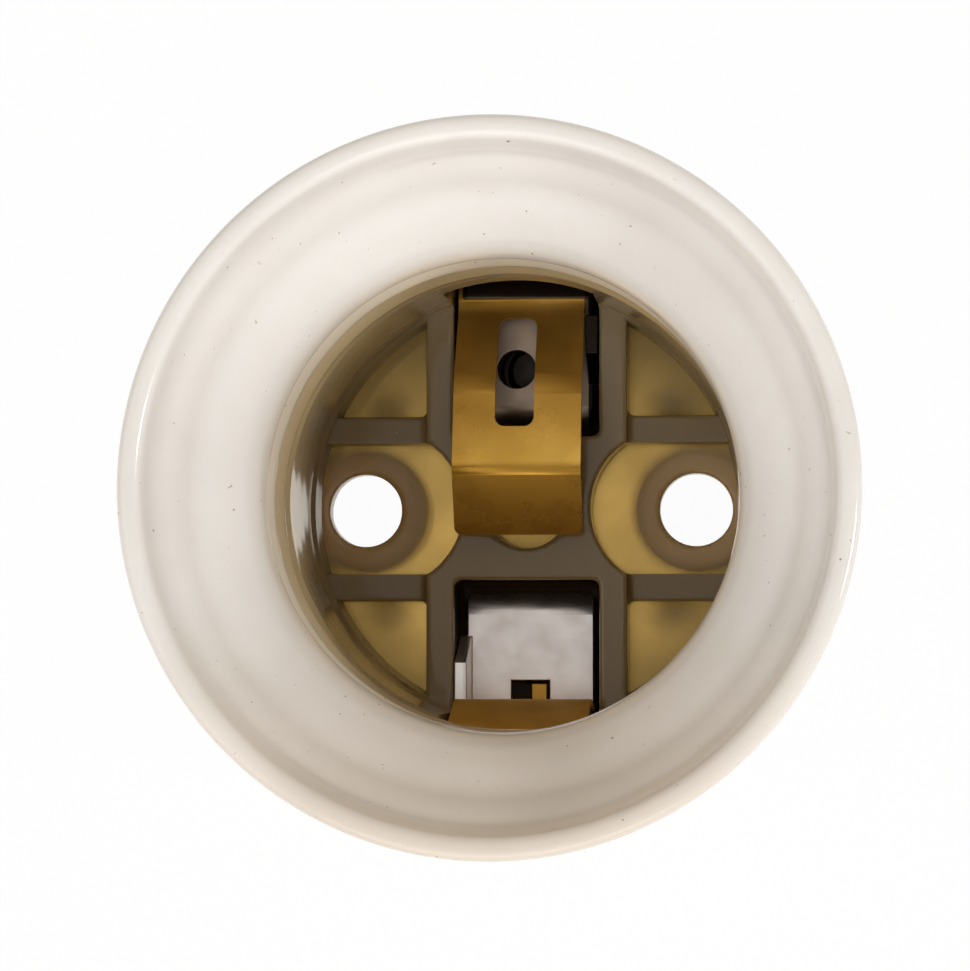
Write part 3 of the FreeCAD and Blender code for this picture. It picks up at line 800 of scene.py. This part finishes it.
# Painted shade: the centre terminal's nickel is a darker, browner copy, for the leaf's shadow, and its flange
# and hidden places are painted nearly black.
nickel_in_shade = metal_finish("shaded_nickel", (0.43, 0.33, 0.25), (0.50, 0.40, 0.31), 300, 0.34, 0.46,
                           ROLLED, hidden_shade=DARKEST_SHADE, flange_painted_light=(0.02, 0.014, 0.01), flange_from=3.38)
# Painted shade: the zinc is coloured darker than fresh zinc, for where the clamps show dark down the passage.
zinc = metal_finish("zinc_plate", (0.24, 0.23, 0.21), (0.36, 0.35, 0.33), 350, 0.3, 0.5, hidden_shade=DARKEST_SHADE)
black_steel = metal_finish("blackened_steel", (0.05, 0.045, 0.04), (0.10, 0.09, 0.08), 350, 0.45, 0.6)
FINISHES = {
    "centre_contact": brass, "side_contact": brass,
    "centre_terminal": nickel_in_shade, "side_terminal": nickel,
    "centre_clamp": zinc, "side_clamp": zinc,
    "centre_terminal_screw": black_steel, "side_terminal_screw": black_steel,
}
for name, finish in FINISHES.items():
    nodes[name].data.materials.clear()
    nodes[name].data.materials.append(finish)
print("metal finishes:", len(FINISHES))

# %% [markdown]
# ## Stage and light
#
# The holder stands on a pale floor that still takes its shadow. Camera rays see the floor as
# nearly white, and so do rays that have come through the thin porcelain, so that the pockets
# glow as they do over a bright table. Those second rays see it slightly warm.

# %% Floor
FLOOR_WHITE = 0.97
WARM_WHITE = (1.0, 0.94, 0.84, 1.0)
WHITE = (1.0, 1.0, 1.0, 1.0)


def floor_finish():
    finish, tree, shader, output = new_finish("pale_floor")
    shader.inputs["Base Color"].default_value = (0.85, 0.85, 0.85, 1)
    shader.inputs["Roughness"].default_value = 0.6
    path = tree.nodes.new("ShaderNodeLightPath")
    glow = tree.nodes.new("ShaderNodeEmission")
    glow.inputs["Strength"].default_value = 1.0
    seen = path.outputs["Is Camera Ray"]
    tree.links.new(mixed_colour(tree, seen, WARM_WHITE, WHITE), glow.inputs["Color"])
    for other in ("Is Glossy Ray", "Is Transmission Ray"):
        seen = calculate(tree, "MAXIMUM", seen, path.outputs[other])
    share = calculate(tree, "MULTIPLY", seen, FLOOR_WHITE)
    tree.links.new(mixed_shader(tree, share, shader, glow).outputs[0], output.inputs[0])
    return finish


bm = bmesh.new()
bmesh.ops.create_grid(bm, x_segments=1, y_segments=1, size=600)
floor = make_object("floor", bm)
floor.data.materials.append(floor_finish())
print("floor:", [round(v, 2) for v in floor.dimensions])

# %% [markdown]
# Two broad lamps stand at the front and at the left, like windows, and give the lip its wide
# soft highlights. A small lamp at the right adds a sharper one. All three are low, so that they
# light the mouth and leave the bore in shade.

# %% Lamps
LAMP_DISTANCE = 0.8


def area_lamp(name, azimuth, elevation, size, power):
    """A round lamp aimed at the mouth. Azimuth 0 is +X, 90 is +Y; size is in metres."""
    lamp = bpy.data.lights.new(name, "AREA")
    lamp.shape = "DISK"
    lamp.size = size
    lamp.energy = power
    lamp_object = bpy.data.objects.new(name, lamp)
    bpy.context.scene.collection.objects.link(lamp_object)
    mouth = Vector((0, 0, HEIGHT * MM))
    turn, lift = math.radians(azimuth), math.radians(elevation)
    direction = Vector((math.cos(turn) * math.cos(lift), math.sin(turn) * math.cos(lift), math.sin(lift)))
    lamp_object.location = mouth + direction * LAMP_DISTANCE
    lamp_object.rotation_euler = direction.to_track_quat("Z", "Y").to_euler()


area_lamp("key", -95, 40, size=0.7, power=2.5)
area_lamp("left_window", -165, 42, size=0.8, power=1.4)
area_lamp("right_window", -8, 35, size=0.12, power=2.2)

# %% [markdown]
# The room gives an even warm light that is darker overhead, which keeps the bottom of the bore
# in shade. Camera rays see it as white, and mirror-like glints see it as a pale grey.

# %% World
ROOM = (0.60, 0.54, 0.46)
OVERHEAD = (0.2, 0.18, 0.15)


def studio_world():
    world = bpy.data.worlds.new("studio")
    world.use_nodes = True
    sky = world.node_tree
    background = sky.nodes["Background"]
    coordinates = sky.nodes.new("ShaderNodeTexCoord")
    parts = sky.nodes.new("ShaderNodeSeparateXYZ")
    sky.links.new(coordinates.outputs["Generated"], parts.inputs[0])
    room = ramp(sky, parts.outputs["Z"], [(0.0, ROOM), (0.70, ROOM), (0.9, OVERHEAD)])
    path = sky.nodes.new("ShaderNodeLightPath")
    shown = mixed_colour(sky, path.outputs["Is Camera Ray"], room, WHITE)
    shown = mixed_colour(sky, path.outputs["Is Glossy Ray"], shown, (*grey(0.8), 1.0))
    sky.links.new(shown, background.inputs["Color"])
    background.inputs["Strength"].default_value = 1.0
    return world


bpy.context.scene.world = studio_world()
print("world:", bpy.context.scene.world.name)

# %% [markdown]
# ## Camera
#
# The view looks almost straight into the mouth, a little from the front right, so that the
# nearer circles of the bore slide against the deeper ones. The camera stands about 164 mm
# above the lip and aims at its centre. Its upright direction is kept along Y.

# %% Camera
EYE = (14.9, -8.15, HEIGHT + 164.1)

camera = bpy.data.objects.new("camera", bpy.data.cameras.new("camera"))
bpy.context.scene.collection.objects.link(camera)
camera.data.lens = 124.1
camera.data.sensor_width = 36
camera.location = Vector(EYE) * MM
aim = Vector((0, 0, HEIGHT)) * MM
backward = (camera.location - aim).normalized()
sideways = Vector((0, 1, 0)).cross(backward).normalized()
upward = backward.cross(sideways)
camera.rotation_euler = Matrix((sideways, upward, backward)).transposed().to_euler()
bpy.context.scene.camera = camera
bpy.context.scene.view_settings.view_transform = "Standard"
print("camera at", [round(v, 4) for v in camera.location])
